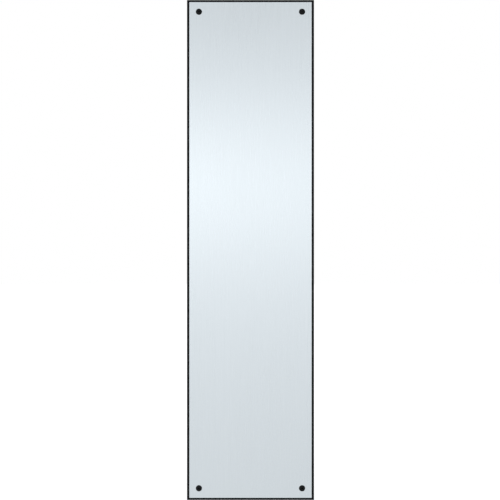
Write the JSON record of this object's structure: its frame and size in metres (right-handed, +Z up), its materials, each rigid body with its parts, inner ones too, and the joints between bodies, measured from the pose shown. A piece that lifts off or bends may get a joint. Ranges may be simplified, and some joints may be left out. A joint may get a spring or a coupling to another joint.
{
  "type": "kick plate",
  "caption": "Flat rectangular metal door protection plate with a dark bevelled edge, fixed near its corners by black oval-head wood screws.",
  "frame": {"origin": "centre of the plate's flat back face, the face that lies on the door", "axes": "+Z up along the plate's long side as pictured, +X across its width to the right as seen from the front, +Y out of the back face into the door; the front faces -Y"},
  "size_m": [0.1524, 0.0168, 0.6],
  "materials": {
    "steel": "satin stainless steel, bluish silver, with a near-black bevel on its four edges",
    "black_screw": "black oxide"
  },
  "bodies": {
    "plate": {"plate": "steel"},
    "screw_top_left": {"screw_top_left": "black_screw"},
    "screw_top_right": {"screw_top_right": "black_screw"},
    "screw_bottom_left": {"screw_bottom_left": "black_screw"},
    "screw_bottom_right": {"screw_bottom_right": "black_screw"}
  },
  "joints": [
    {"name": "screw_top_left_slide", "type": "slide", "parent": "plate", "child": "screw_top_left", "axis": [0, -1, 0], "range_m": [0, 0.02]},
    {"name": "screw_top_right_slide", "type": "slide", "parent": "plate", "child": "screw_top_right", "axis": [0, -1, 0], "range_m": [0, 0.02]},
    {"name": "screw_bottom_left_slide", "type": "slide", "parent": "plate", "child": "screw_bottom_left", "axis": [0, -1, 0], "range_m": [0, 0.02]},
    {"name": "screw_bottom_right_slide", "type": "slide", "parent": "plate", "child": "screw_bottom_right", "axis": [0, -1, 0], "range_m": [0, 0.02]}
  ]
}
